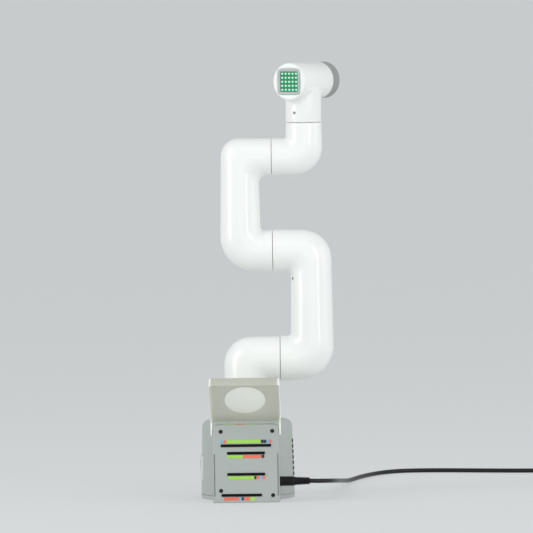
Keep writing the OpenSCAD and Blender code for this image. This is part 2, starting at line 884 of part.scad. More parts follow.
module barrel(x, h, r0, r1) {
    translate([x, plug_y, plug_z]) rotate([0, 90, 0]) cylinder(h = h, r1 = r0, r2 = r1);
}

module dc_plug() {
    color(ink) {
        barrel(box_half_w, plug_len, plug_r, plug_r);
        barrel(box_half_w - plug_barrel_len, plug_barrel_len, plug_barrel_r, plug_barrel_r);
    }
}

module plug_relief() {
    color(ink) barrel(box_half_w + plug_len, relief_len, 4.5, 3.8);
}

function unit(v) = v / norm(v);
function tangent(pts, i) = unit(pts[min(i + 1, len(pts) - 1)] - pts[max(i - 1, 0)]);
function side_of(t) = unit(cross(t, [0, 0, 1]));

// tube swept along a list of points with an eight-sided ring at each
module swept_tube(pts, r) {
    n = 8;
    rings = [for (i = [0:len(pts) - 1]) let (t = tangent(pts, i), s = side_of(t), u = cross(s, t))
        for (k = [0:n - 1]) pts[i] + r * (cos(45 * k) * s + sin(45 * k) * u)];
    last = (len(pts) - 1) * n;
    sides = [for (i = [0:len(pts) - 2]) for (k = [0:n - 1])
        [i * n + k, i * n + (k + 1) % n, (i + 1) * n + (k + 1) % n, (i + 1) * n + k]];
    ends = [[for (k = [n - 1:-1:0]) k], [for (k = [0:n - 1]) last + k]];
    polyhedron(points = rings, faces = concat(ends, sides), convexity = 10);
}

module power_cord() {
    color(ink) {
        swept_tube(cord_route, cord_d / 2);
        swept_tube(tail_route, cord_d / 2);
    }
}

// outer shape of the wound length: two layers of turns
module cord_coil() {
    color(ink) translate([coil_x, coil_y, 0]) rotate_extrude()
        translate([coil_inner_r, 0]) square([coil_outer_r - coil_inner_r, 2 * cord_d]);
}

module adapter_relief() {
    color(ink) translate([adapter_x, adapter_y - adapter_relief_len, adapter_cord_z])
        rotate([-90, 0, 0]) cylinder(h = adapter_relief_len, r1 = 3, r2 = 4.2);
}

module power_adapter() {
    size = adapter_size;
    color(ink) translate([adapter_x, adapter_y, 0]) rotate([-90, 0, 0])
        linear_extrude(size[1]) round_rect(-size[0] / 2, size[0] / 2, -size[2], 0, 5);
}

module adapter_pins() {
    color("#c9ccce") for (s = [-1, 1])
        translate([adapter_x + s * 6.35 - 0.75, adapter_y + adapter_size[1], 11])
            cube([1.5, 16, 6.3]);
}

base_plate();
rubber_pads();
base_housing();
connector_box();
panel_screws();
pin_board();
header_row_1();
header_row_2();
header_row_3();
header_row_4();
labels_green();
labels_red();
labels_blue();
labels_dark();
dc_socket();
left_ports();
left_socket();
right_ports();
main_board();
base_servo();
dust_cover();
cover_window();
cover_hinge_pins();
shoulder_front_shell();
shoulder_rear_shell();
shoulder_horn();
shoulder_servo();
shoulder_screws();
upper_arm_front_shell();
upper_arm_rear_shell();
upper_arm_horn();
elbow_servo();
upper_arm_screws();
forearm_front_shell();
forearm_rear_shell();
forearm_horn();
wrist_servo();
forearm_screws();
wrist_front_shell();
wrist_rear_shell();
wrist_horn();
roll_servo();
wrist_screws();
head_shell();
head_horn();
flange_servo();
display_cap();
display_case();
display_board();
display_leds();
head_screws();
tool_flange();
flange_horn();
dc_plug();
plug_relief();
power_cord();
cord_coil();
adapter_relief();
power_adapter();
adapter_pins();
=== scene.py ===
"""Looks of the desktop robot arm: camera, power lead, detailed meshes, materials and light."""
import math

import bmesh
import bpy
from mathutils import Matrix, Vector


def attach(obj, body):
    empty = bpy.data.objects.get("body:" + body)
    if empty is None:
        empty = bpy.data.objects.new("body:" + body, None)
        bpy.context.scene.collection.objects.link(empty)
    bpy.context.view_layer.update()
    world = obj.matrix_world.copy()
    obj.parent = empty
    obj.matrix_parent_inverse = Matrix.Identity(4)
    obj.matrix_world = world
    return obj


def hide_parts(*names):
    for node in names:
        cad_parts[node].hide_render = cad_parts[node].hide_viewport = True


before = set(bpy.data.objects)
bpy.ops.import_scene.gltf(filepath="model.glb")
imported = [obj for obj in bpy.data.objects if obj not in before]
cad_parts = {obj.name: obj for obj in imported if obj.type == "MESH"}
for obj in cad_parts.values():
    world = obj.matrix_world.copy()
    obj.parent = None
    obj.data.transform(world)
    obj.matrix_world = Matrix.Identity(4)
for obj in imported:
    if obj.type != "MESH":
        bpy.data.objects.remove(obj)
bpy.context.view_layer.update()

MM = 0.001
scene = bpy.context.scene
scene.view_settings.view_transform = "Standard"

# ---------------------------------------------------------------- camera

CAMERA_DISTANCE = 7.0
CAMERA_TURN = math.radians(1.2)
CAMERA_ROLL = math.radians(0.85)
CAMERA_HEIGHT = 0.61
TARGET = Vector((0.0222, 0.0, 0.236))

camera_data = bpy.data.cameras.new("camera")
camera_data.lens = 463
camera_data.sensor_width = 36
camera_data.clip_start = 0.05
camera_data.clip_end = 400
camera = bpy.data.objects.new("camera", camera_data)
scene.collection.objects.link(camera)
camera_place = Vector(
    (
        TARGET.x + CAMERA_DISTANCE * math.sin(CAMERA_TURN),
        -CAMERA_DISTANCE * math.cos(CAMERA_TURN),
        CAMERA_HEIGHT,
    )
)
look = (TARGET - camera_place).normalized()
level_right = look.cross(Vector((0, 0, 1))).normalized()
level_up = level_right.cross(look)
camera_up = level_up * math.cos(CAMERA_ROLL) + level_right * math.sin(CAMERA_ROLL)
camera_right = look.cross(camera_up)
pose = Matrix((camera_right, camera_up, -look)).transposed().to_4x4()
pose.translation = camera_place
camera.matrix_world = pose
scene.camera = camera

# ---------------------------------------------------------------- materials


def linear(rgb):
    """Linear colour from sRGB levels 0 to 255."""
    out = []
    for level in rgb:
        c = level / 255
        out.append(c / 12.92 if c <= 0.04045 else ((c + 0.055) / 1.055) ** 2.4)
    return (*out, 1.0)


def new_material(name):
    """Material with its node tree and its Principled node."""
    m = bpy.data.materials.new(name)
    m.use_nodes = True
    tree = m.node_tree
    return m, tree, tree.nodes["Principled BSDF"]


def moulded(name, rgb, rough=0.4, metal=0.0, grain=0.04, size=0.4, mottle=0.03, spec=0.5, coat=0.0):
    """Moulded or finished surface: fine grain of that size in mm, and a slow drift of tone."""
    m, tree, shader = new_material(name)
    nodes, links = tree.nodes, tree.links
    where = nodes.new("ShaderNodeTexCoord")
    fine = nodes.new("ShaderNodeTexNoise")
    fine.inputs["Scale"].default_value = 1 / (size * MM)
    fine.inputs["Detail"].default_value = 3
    links.new(where.outputs["Object"], fine.inputs["Vector"])
    slow = nodes.new("ShaderNodeTexNoise")
    slow.inputs["Scale"].default_value = 28
    slow.inputs["Detail"].default_value = 2
    links.new(where.outputs["Object"], slow.inputs["Vector"])
    tone = nodes.new("ShaderNodeMix")
    tone.data_type = "RGBA"
    base = linear(rgb)
    tone.inputs["A"].default_value = (*[c * (1 - mottle) for c in base[:3]], 1)
    tone.inputs["B"].default_value = (*[min(1, c * (1 + mottle)) for c in base[:3]], 1)
    links.new(slow.outputs["Fac"], tone.inputs["Factor"])
    links.new(tone.outputs["Result"], shader.inputs["Base Color"])
    shade = nodes.new("ShaderNodeMapRange")
    shade.inputs["To Min"].default_value = max(0.02, rough - 0.06)
    shade.inputs["To Max"].default_value = rough + 0.06
    links.new(fine.outputs["Fac"], shade.inputs["Value"])
    links.new(shade.outputs["Result"], shader.inputs["Roughness"])
    if grain:
        bump = nodes.new("ShaderNodeBump")
        bump.inputs["Strength"].default_value = grain
        bump.inputs["Distance"].default_value = 0.05 * MM
        links.new(fine.outputs["Fac"], bump.inputs["Height"])
        links.new(bump.outputs["Normal"], shader.inputs["Normal"])
    shader.inputs["Metallic"].default_value = metal
    shader.inputs["Specular IOR Level"].default_value = spec
    shader.inputs["Coat Weight"].default_value = coat
    return m


def glowing(name, rgb, strength):
    """Lamp lens that gives off its own colour."""
    m, tree, shader = new_material(name)
    tint = tree.nodes.new("ShaderNodeTexNoise")
    tint.inputs["Scale"].default_value = 900
    mix = tree.nodes.new("ShaderNodeMix")
    mix.data_type = "RGBA"
    mix.inputs["A"].default_value = linear(rgb)
    mix.inputs["B"].default_value = linear([min(255, c + 12) for c in rgb])
    tree.links.new(tint.outputs["Fac"], mix.inputs["Factor"])
    tree.links.new(mix.outputs["Result"], shader.inputs["Base Color"])
    tree.links.new(mix.outputs["Result"], shader.inputs["Emission Color"])
    shader.inputs["Emission Strength"].default_value = strength
    shader.inputs["Roughness"].default_value = 0.3
    return m


WHITE = moulded("white_shell", (240, 241, 238), 0.3, grain=0.03, size=0.5, mottle=0.012, coat=0.25)
CAP_WHITE = moulded("white_cap", (236, 238, 235), 0.34, grain=0.03, size=0.5, mottle=0.01)
GREY = moulded("base_grey", (172, 178, 174), 0.42, grain=0.12, size=0.35, mottle=0.03)
FLANGE = moulded("flange_grey", (146, 150, 147), 0.38, grain=0.06, size=0.3, mottle=0.03)
BEZEL = moulded("bezel_grey", (176, 181, 180), 0.34, grain=0.05, size=0.3)
BLACK = moulded("black_plastic", (5, 5, 6), 0.42, grain=0.1, size=0.3, spec=0.28)
CORD_BLACK = moulded("cord_jacket", (9, 8, 8), 0.36, grain=0.12, size=0.5, mottle=0.15, spec=0.4)
RUBBER = moulded("rubber", (38, 39, 41), 0.75, grain=0.3, size=0.4)
SERVO = moulded("servo_case", (52, 55, 58), 0.45, grain=0.15, size=0.4)
BOARD = moulded("board_green", (24, 96, 66), 0.36, grain=0.1, size=0.8, mottle=0.12)
PORT = moulded("port_white", (226, 229, 224), 0.4, grain=0.08, size=0.3)
SOCKET = moulded("socket_dark", (44, 47, 50), 0.42, grain=0.12, size=0.3)
METAL = moulded("plated_metal", (196, 198, 200), 0.24, metal=1.0, grain=0.05, size=0.2)
STEEL = moulded("screw_steel", (104, 104, 102), 0.34, metal=0.9, grain=0.12, size=0.2)
SCREW_BLACK = moulded("screw_black", (20, 20, 22), 0.32, metal=0.3, grain=0.1, size=0.2)
PIN_PLASTIC = moulded("pin_plastic", (190, 193, 187), 0.4, grain=0.1, size=0.3)
INK_GREEN = moulded("label_green", (164, 222, 78), 0.5, grain=0.05, mottle=0.08)
INK_ORANGE = moulded("label_orange", (240, 116, 92), 0.5, grain=0.05, mottle=0.1)
INK_BLUE = moulded("label_blue", (112, 186, 228), 0.5, grain=0.05, mottle=0.1)
INK_DARK = moulded("label_dark", (32, 50, 58), 0.5, grain=0.05, mottle=0.1)
LED = glowing("led_lens", (150, 246, 206), 0.55)


def frosted(name, rgb, clear, rough, lit=0.04):
    """Cloudy polycarbonate: mostly scatters, lets some light through, and gives off a faint painted glow."""
    m = moulded(name, rgb, rough, grain=0.15, size=0.5, mottle=0.025)
    shader = m.node_tree.nodes["Principled BSDF"]
    shader.inputs["Transmission Weight"].default_value = clear
    shader.inputs["IOR"].default_value = 1.3
    # painted glow: emission that stands in for light caught at the plate's faces and edges
    shader.inputs["Emission Color"].default_value = linear(rgb)
    shader.inputs["Emission Strength"].default_value = lit
    return m


# each frost gives off a painted glow; the disc's and the rim's is the stronger one
FROST = frosted("cover_frost", (218, 219, 209), 0.6, 0.6)
DISC = frosted("cover_disc", (238, 240, 233), 0.1, 0.6, 0.1)
# brighter copy of the frost with a stronger painted glow: painted light on the side walls' edges
RIM = frosted("cover_rim", (240, 241, 234), 0.1, 0.5, 0.1)


def lamp_field():
    """Board of the lamp matrix: a painted pool of light round each lamp, dark between the rows."""
    m, tree, shader = new_material("lamp_board")
    nodes, links = tree.nodes, tree.links

    def maths(kind, a, b=None):
        n = nodes.new("ShaderNodeMath")
        n.operation = kind
        for k, value in enumerate((a, b)):
            if value is None:
                continue
            if isinstance(value, (int, float)):
                n.inputs[k].default_value = value
            else:
                links.new(value, n.inputs[k])
        return n.outputs[0]

    where = nodes.new("ShaderNodeTexCoord")
    split = nodes.new("ShaderNodeSeparateXYZ")
    links.new(where.outputs["Object"], split.inputs[0])
    away = []
    for side, weight in (("X", 1.0), ("Y", 1.25)):
        cell = maths("DIVIDE", split.outputs[side], LED_PITCH * MM)
        off = maths("ABSOLUTE", maths("SUBTRACT", cell, maths("ROUND", cell)))
        away.append(maths("MULTIPLY", off, weight))
    far = maths("SQRT", maths("ADD", maths("POWER", away[0], 2), maths("POWER", away[1], 2)))
    ramp = nodes.new("ShaderNodeValToRGB")
    stops = [(0.0, (190, 255, 225)), (0.2, (70, 215, 150)), (0.34, (8, 140, 82)), (0.6, (4, 84, 48))]
    while len(ramp.color_ramp.elements) < len(stops):
        ramp.color_ramp.elements.new(0.5)
    for element, (at, rgb) in zip(ramp.color_ramp.elements, stops):
        element.position = at
        element.color = linear(rgb)
    links.new(far, ramp.inputs["Fac"])
    shader.inputs["Base Color"].default_value = linear((8, 66, 42))
    # painted light: the board glows brightest round each lamp and fades to its own dark green
    links.new(ramp.outputs["Color"], shader.inputs["Emission Color"])
    shader.inputs["Emission Strength"].default_value = 0.75
    shader.inputs["Roughness"].default_value = 0.35
    return m


LED_PITCH = 4.1
LAMP_BOARD = lamp_field()

# ---------------------------------------------------------------- mesh tools


def strips(rings, loop=False, open_rings=False):
    """Faces that join a list of rings of equal count."""
    count = len(rings[0])
    verts = [p for ring in rings for p in ring]
    faces = []
    last = len(rings) if loop else len(rings) - 1
    around = count - 1 if open_rings else count
    for i in range(last):
        a, b = i * count, (i + 1) % len(rings) * count
        for k in range(around):
            n = (k + 1) % count
            faces.append((a + k, a + n, b + n, b + k))
    return verts, faces


def solid(rings):
    """Closed form through rings, with its two end rings filled."""
    verts, faces = strips(rings)
    count = len(rings[0])
    faces.append(tuple(range(count)))
    faces.append(tuple(len(verts) - count + k for k in range(count)))
    return verts, faces


def circle(r, z, count=64):
    """Level ring of points."""
    return [
        (r * math.cos(2 * math.pi * k / count), r * math.sin(2 * math.pi * k / count), z)
        for k in range(count)
    ]


def lathe(profile, count=64, loop=True):
    """Turned form from (radius, height) points; a closed ring of them if loop."""
    rings = [circle(r, z, count) for r, z in profile]
    return strips(rings, loop=True) if loop else solid(rings)


def moved(part, matrix):
    """Part in another frame."""
    return [tuple(matrix @ Vector(v)) for v in part[0]], part[1]


def joined(parts):
    """Several parts as one."""
    verts, faces = [], []
    for v, f in parts:
        base = len(verts)
        verts += v
        faces += [tuple(base + i for i in face) for face in f]
    return verts, faces


def rounded(x0, x1, y0, y1, r, steps=8):
    """Points of a rectangle with round corners, in order."""
    out = []
    corners = ((x1 - r, y1 - r, 0), (x0 + r, y1 - r, 90), (x0 + r, y0 + r, 180), (x1 - r, y0 + r, 270))
    for cx, cy, start in corners:
        for k in range(steps + 1):
            a = math.radians(start + 90 * k / steps)
            out.append((cx + r * math.cos(a), cy + r * math.sin(a)))
    return out


def block(x0, x1, y0, y1, z0, z1, r=0.5, edge=0.3, steps=4):
    """Box with round upright corners and softened top and bottom edges."""
    rings = []
    for z, inset in ((z0, edge), (z0 + edge * 0.3, edge * 0.3), (z0 + edge, 0),
                     (z1 - edge, 0), (z1 - edge * 0.3, edge * 0.3), (z1, edge)):
        corner = max(r - inset, 0.05)
        ring = rounded(x0 + inset, x1 - inset, y0 + inset, y1 - inset, corner, steps)
        rings.append([(x, y, z) for x, y in ring])
    return solid(rings)


def build(name, part, material, body, replaces=(), angle=35, place=None):
    """Mesh object from a part in mm. place puts a part drawn in its own frame."""
    mesh = bpy.data.meshes.new(name)
    mesh.from_pydata([[c * MM for c in v] for v in part[0]], [], part[1])
    mesh.validate()
    obj = bpy.data.objects.new(name, mesh)
    scene.collection.objects.link(obj)
    mesh.materials.append(material)
    tidy_normals(mesh)
    smooth(mesh, angle)
    if place is not None:
        m = place.copy()
        m.translation = m.translation * MM
        obj.matrix_world = m
    if body:
        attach(obj, body)
    if replaces:
        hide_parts(*replaces)
    return obj


def tidy_normals(mesh):
    """Turns every face of a closed mesh outward."""
    bm = bmesh.new()
    bm.from_mesh(mesh)
    bmesh.ops.recalc_face_normals(bm, faces=bm.faces)
    bm.to_mesh(mesh)
    bm.free()


def smooth(mesh, angle):
    """Smooth shading with creases sharper than an angle kept."""
    mesh.polygons.foreach_set("use_smooth", [True] * len(mesh.polygons))
    mesh.set_sharp_from_angle(angle=math.radians(angle))


def carve(obj, part, operation="DIFFERENCE", angle=35):
    """Takes a part, in the object's own frame, from an object, or adds it."""
    mesh = bpy.data.meshes.new("tool")
    mesh.from_pydata([[c * MM for c in v] for v in part[0]], [], part[1])
    mesh.validate()
    tidy_normals(mesh)
    tool = bpy.data.objects.new("tool", mesh)
    scene.collection.objects.link(tool)
    tool.matrix_world = obj.matrix_world.copy()
    bpy.context.view_layer.update()
    change = obj.modifiers.new("carve", "BOOLEAN")
    change.operation = operation
    change.object = tool
    change.solver = "EXACT"
    graph = bpy.context.evaluated_depsgraph_get()
    result = bpy.data.meshes.new_from_object(obj.evaluated_get(graph))
    obj.modifiers.clear()
    obj.data = result
    bpy.data.objects.remove(tool)
    smooth(result, angle)


def soften(obj, width, angle=40, segments=2):
    """Small rounded edges on an object, kept as a modifier."""
    change = obj.modifiers.new("edges", "BEVEL")
    change.width = width * MM
    change.segments = segments
    change.limit_method = "ANGLE"
    change.angle_limit = math.radians(angle)
    change.harden_normals = False
    return obj


def along_x(x, y, z):
    """Frame at a point whose Z runs along +X."""
    return Matrix.Translation((x, y, z)) @ Matrix.Rotation(math.radians(90), 4, "Y")


def along_y(x, y, z):
    """Frame at a point whose Z runs along +Y."""
    return Matrix.Translation((x, y, z)) @ Matrix.Rotation(math.radians(-90), 4, "X")


# ---------------------------------------------------------------- power lead

CORD_D = 4.5
PLUG_Y = -58.0
PLUG_Z = 20.6
RELIEF_END = 64.3
COIL = Vector((348.0, 280.0))
COIL_OUTER = 31.5
COIL_TURNS = 2.625
COIL_PITCH = 4.62
COIL_LIFT = 4.56
COIL_CLIMB = 1.7
ADAPTER_X = 379.5
ADAPTER_Y = 336.5
ADAPTER_RELIEF_Y = 318.5
ADAPTER_ENTRY_Z = 7.5

lead = [
    (RELIEF_END, -58, 20.6), (68, -57.9, 20.5), (73, -56.8, 20.3), (79, -53, 20), (84, -46, 19.4),
    (87.5, -36, 18.6), (90, -22, 17.4), (91.5, -5, 15.9), (92.5, 15, 14.2), (93.5, 38, 12.3),
    (94.5, 62, 10.2), (96, 86, 8.1), (97.5, 110, 6.1), (99.5, 132, 4.2), (102.5, 153, 2.8),
    (106.5, 173, 2.25), (112.5, 195, 2.25), (120, 217, 2.25), (129.5, 238, 2.25), (141, 255, 2.25),
    (155, 266, 2.25), (172, 270, 2.25), (195, 269, 2.25), (222, 264, 2.25), (250, 257.5, 2.25),
    (278, 252, 2.25), (305, 249.2, 2.25), (333, 248.6, 2.25),
]
# two layers: the lead winds inward on the table, climbs, and winds outward again
TURN_STEPS = 18
for k in range(round(2 * COIL_TURNS * TURN_STEPS) + 1):
    turned = k / TURN_STEPS
    inward = min(turned, 2 * COIL_TURNS - turned)
    r = COIL_OUTER - COIL_PITCH * inward
    climb = min(max((turned - COIL_TURNS) * COIL_CLIMB + 0.5, 0), 1)
    climb = climb * climb * (3 - 2 * climb)
    a = 2 * math.pi * turned - math.pi / 2
    lead.append((COIL.x + r * math.cos(a), COIL.y + r * math.sin(a), CORD_D / 2 + COIL_LIFT * climb))
lead += [(ADAPTER_X, 288.5, 6.85), (ADAPTER_X, 298.5, 6.95), (ADAPTER_X, 309, 7.3),
         (ADAPTER_X, ADAPTER_RELIEF_Y, ADAPTER_ENTRY_Z)]


def cord_curve(name, points, diameter):
    """Round curve through points in mm."""
    data = bpy.data.curves.new(name, "CURVE")
    data.dimensions = "3D"
    data.bevel_depth = diameter / 2 * MM
    data.bevel_resolution = 5
    data.resolution_u = 5
    line = data.splines.new("BEZIER")
    line.bezier_points.add(len(points) - 1)
    for p, place in zip(line.bezier_points, points):
        p.co = Vector(place) * MM
        p.handle_left_type = p.handle_right_type = "AUTO"
    obj = bpy.data.objects.new(name, data)
    scene.collection.objects.link(obj)
    data.materials.append(CORD_BLACK)
    return obj


cord = cord_curve("lead", lead, CORD_D)
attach(cord, "base")
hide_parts("power_cord", "cord_coil")

# plug body with finger ribs, on the right wall of the connector box
BOX_HALF_W = 33.8
PLUG_LEN = 14.5
plug_profile = [(2.7, -9), (2.7, 0), (4.6, 0.02), (5, 0.5), (5, 2.2), (4.65, 2.5), (4.65, 3)]
for k in range(4):
    z = 3.2 + 2.1 * k
    plug_profile += [(4.95, z), (4.95, z + 1.3), (4.55, z + 1.6), (4.55, z + 1.9)]
plug_profile += [(4.95, 12), (4.95, 13.6), (4.6, 14.3), (4.4, PLUG_LEN), (1.2, PLUG_LEN), (1.2, -9)]
plug = build("plug_body", moved(lathe(plug_profile, 48), along_x(BOX_HALF_W, PLUG_Y, PLUG_Z)),
             BLACK, "base", ["dc_plug"])

relief_profile = [(2.2, 0), (4.4, 0.1)]
for k in range(6):
    z = 0.6 + 2.5 * k
    r = 4.4 - 0.12 * k
    relief_profile += [(r, z), (r, z + 1.2), (r - 0.75, z + 1.45), (r - 0.8, z + 2.2)]
relief_profile += [(3.75, 15.6), (3.4, 16), (2.2, 16)]
relief = build("plug_relief_ribs", moved(lathe(relief_profile, 48),
                                         along_x(BOX_HALF_W + PLUG_LEN, PLUG_Y, PLUG_Z)),
               BLACK, "base", ["plug_relief"])

# power adapter: two mouldings with a parting line, its relief and a tie round the coil
half_x, deep, high = 22.0, 66.0, 28.0
rings = []
for z, inset in ((0, 3.2), (0.9, 1.3), (3.2, 0), (13.2, 0), (13.5, 0.45), (14.1, 0.45), (14.4, 0),
                 (high - 3.2, 0), (high - 0.9, 1.3), (high, 3.2)):
    ring = rounded(-half_x + inset, half_x - inset, inset, deep - inset, 6 - inset * 0.8, 8)
    rings.append([(ADAPTER_X + x, ADAPTER_Y + y, z) for x, y in ring])
adapter = build("adapter_case", solid(rings), BLACK, "base", ["power_adapter"])
relief_2_profile = [(2.1, 0), (2.6, 0.1), (3, 0.8)]
for k in range(6):
    z = 1 + 2.6 * k
    relief_2_profile += [(3 + 0.19 * k, z), (3 + 0.19 * k, z + 1.3),
                         (2.5 + 0.2 * k, z + 1.6), (2.5 + 0.2 * k, z + 2.4)]
relief_2_profile += [(4.2, 16.8), (4.2, 18), (2.1, 18)]
relief_2 = build("adapter_relief_ribs", moved(lathe(relief_2_profile, 40),
                                              along_y(ADAPTER_X, ADAPTER_RELIEF_Y, ADAPTER_ENTRY_Z)),
                 BLACK, "base", ["adapter_relief"])

TIE_HALF = 2
AT_TIE = Matrix.Translation((COIL.x, COIL.y, 0)) @ Matrix.Rotation(math.radians(205), 4, "Z")
tie_outer = rounded(16.7, 34.3, 0.02, 9.4, 2.4, 6)
tie_inner = rounded(17.2, 33.85, 0.3, 9.15, 2.2, 6)
tie_loops = ((-TIE_HALF, tie_outer), (TIE_HALF, tie_outer), (TIE_HALF, tie_inner), (-TIE_HALF, tie_inner))
tie_part = strips([[(x, y, z) for x, z in outline] for y, outline in tie_loops], loop=True)
tie = build("coil_tie", moved(tie_part, AT_TIE), RUBBER, "base")

# ---------------------------------------------------------------- arm links

WALL = 2.4
END_WALL = 2.75
GAP = 0.25
BOSS_HOLE = 7.3
SHAFT_HOLE = 5.0
J1_SEAM = 80.7
J2, J3, J4, J5, J6 = 141.8, 252.2, 348.2, 383.2, 425.2
SEAM_2, SEAM_34 = 35.3, 29.0
UPPER_X, FORE_X, WRIST_X = 67.9, -3.8, 62.2


def flat(a, b):
    """Point or direction in the XZ plane."""
    return Vector((a, b))


class Leg:
    """A straight tube in the XZ plane, from a (radius ra) to b (radius rb)."""

    def __init__(self, a, b, ra, rb):
        self.a, self.b, self.ra, self.rb = flat(*a), flat(*b), ra, rb
        self.d = (self.b - self.a).normalized()

    def side(self, way, wall=0.0):
        """Start point and direction of the outline on one side of the tube."""
        n = flat(self.d.y, -self.d.x) * way
        p = self.a + n * (self.ra - wall)
        q = self.b + n * (self.rb - wall)
        return p, (q - p).normalized(), n

    def radius(self, p):
        """Tube radius beside a point."""
        span = (self.b - self.a).length
        f = min(max((p - self.a).dot(self.d) / span, 0), 1)
        return self.ra + (self.rb - self.ra) * f


def crossing(p, d, q, e):
    """Point where two lines meet."""
    cross = d.x * e.y - d.y * e.x
    f = ((q.x - p.x) * e.y - (q.y - p.y) * e.x) / cross
    return p + d * f


def fillet(p, d, q, e, r):
    """Arc points of radius r that join two outlines."""
    corner = crossing(p, d, q, e)
    turn = math.atan2(d.x * e.y - d.y * e.x, d.dot(e))
    reach = r * math.tan(abs(turn) / 2)
    start = corner - d * reach
    n = flat(-d.y, d.x) * (1 if turn > 0 else -1)
    centre = start + n * r
    steps = 14
    out = []
    for k in range(steps + 1):
        a = turn * k / steps
        v = -n
        c, s = math.cos(a), math.sin(a)
        out.append(centre + flat(v.x * c - v.y * s, v.x * s + v.y * c) * r)
    return out


def between(s, t, count):
    """Sections strictly between two sections."""
    return [tuple(a + (b - a) * (k / (count + 1)) for a, b in zip(s, t)) for k in range(1, count + 1)]


def sections(legs, bends, way, wall, start_in, end_in):
    """Sections (outer point, inner point, half depth) along a tube that bends one way."""
    first, last = legs[0], legs[-1]

    def square(leg, at, along):
        n = flat(leg.d.y, -leg.d.x) * way
        p = at + leg.d * along
        r = leg.radius(p) - wall
        return p + n * r, p - n * r, r

    out = [square(first, first.a, start_in)]
    for leg, after, (outer_r, inner_r) in zip(legs, legs[1:], bends):
        p, d, _ = leg.side(way, wall)
        q, e, _ = after.side(way, wall)
        outside = fillet(p, d, q, e, outer_r - wall)
        p, d, _ = leg.side(-way, wall)
        q, e, _ = after.side(-way, wall)
        inside = fillet(p, d, q, e, inner_r + wall)
        r0 = leg.radius((outside[0] + inside[0]) / 2)
        r1 = after.radius((outside[-1] + inside[-1]) / 2)
        arc = []
        for k, (o, i) in enumerate(zip(outside, inside)):
            f = k / (len(outside) - 1)
            arc.append((o, i, r0 * (1 - f) + r1 * f - wall))
        out += between(out[-1], arc[0], 3) + arc
    end = square(last, last.b, -end_in)
    out += between(out[-1], end, 3) + [end]
    return out


PARTING = 0.35
AROUND = 26


def half_ring(section, rear, shrink=0.0, groove=False, radius=None):
    """Half of a section's ellipse, behind or in front of the tube's middle plane."""
    o, i, depth = section
    centre = (o + i) / 2
    reach = (o - i) / 2
    if radius is not None:
        reach = reach.normalized() * radius
        depth = radius
    elif shrink:
        reach = reach.normalized() * (reach.length - shrink)
        depth -= shrink
    angles = [math.pi * k / AROUND for k in range(AROUND + 1)]
    edge = PARTING / depth
    angles = [0, edge] + angles[1:-1] + [math.pi - edge, math.pi]
    ring = []
    for a in angles:
        ease = 1 - (0.22 / depth if groove and a in (0, math.pi) else 0)
        p = centre + reach * math.cos(a) * ease
        y = depth * math.sin(a) * ease * (1 if rear else -1)
        ring.append((p.x, y, p.y))
    return ring


def link_shell(legs, bends, way, holes, rear):
    """Closed half of a hollow tube link, with its end walls and softened end edges."""
    outer = sections(legs, bends, way, 0, 0, 0)
    inner = sections(legs, bends, way, WALL, END_WALL, END_WALL)
    d0, d1 = legs[0].d, legs[-1].d

    def pushed(s, d, along):
        return s[0] + d * along, s[1] + d * along, s[2]

    start, end = outer[0], outer[-1]
    rings = [
        half_ring(pushed(start, d0, END_WALL), rear, radius=holes[0]),
        half_ring(start, rear, radius=holes[0]),
        half_ring(start, rear, shrink=0.5),
        half_ring(pushed(start, d0, 0.15), rear, shrink=0.14),
    ]
    rings.append(half_ring(pushed(start, d0, 0.5), rear, groove=True))
    rings += [half_ring(s, rear, groove=True) for s in outer[1:-1]]
    rings.append(half_ring(pushed(end, d1, -0.5), rear, groove=True))
    rings += [
        half_ring(pushed(end, d1, -0.15), rear, shrink=0.14),
        half_ring(end, rear, shrink=0.5),
        half_ring(end, rear, radius=holes[1]),
        half_ring(pushed(end, d1, -END_WALL), rear, radius=holes[1]),
    ]
    rings += [half_ring(s, rear) for s in reversed(inner)]
    verts, faces = strips(rings, loop=True, open_rings=True)
    count = len(rings[0])
    faces.append(tuple(i * count for i in range(len(rings))))
    faces.append(tuple(i * count + count - 1 for i in range(len(rings))))
    return verts, faces


SEAT_R = 2.15
SEAT_DEPTH = 2.1


def screw_seats(seats):
    """Round seats cut into the back of a link: x, z and half depth of the tube there."""
    seat = lathe([(SEAT_R, 0), (SEAT_R, 8)], 28, loop=False)
    return joined([moved(seat, along_y(x, half - SEAT_DEPTH, z)) for x, z, half in seats])


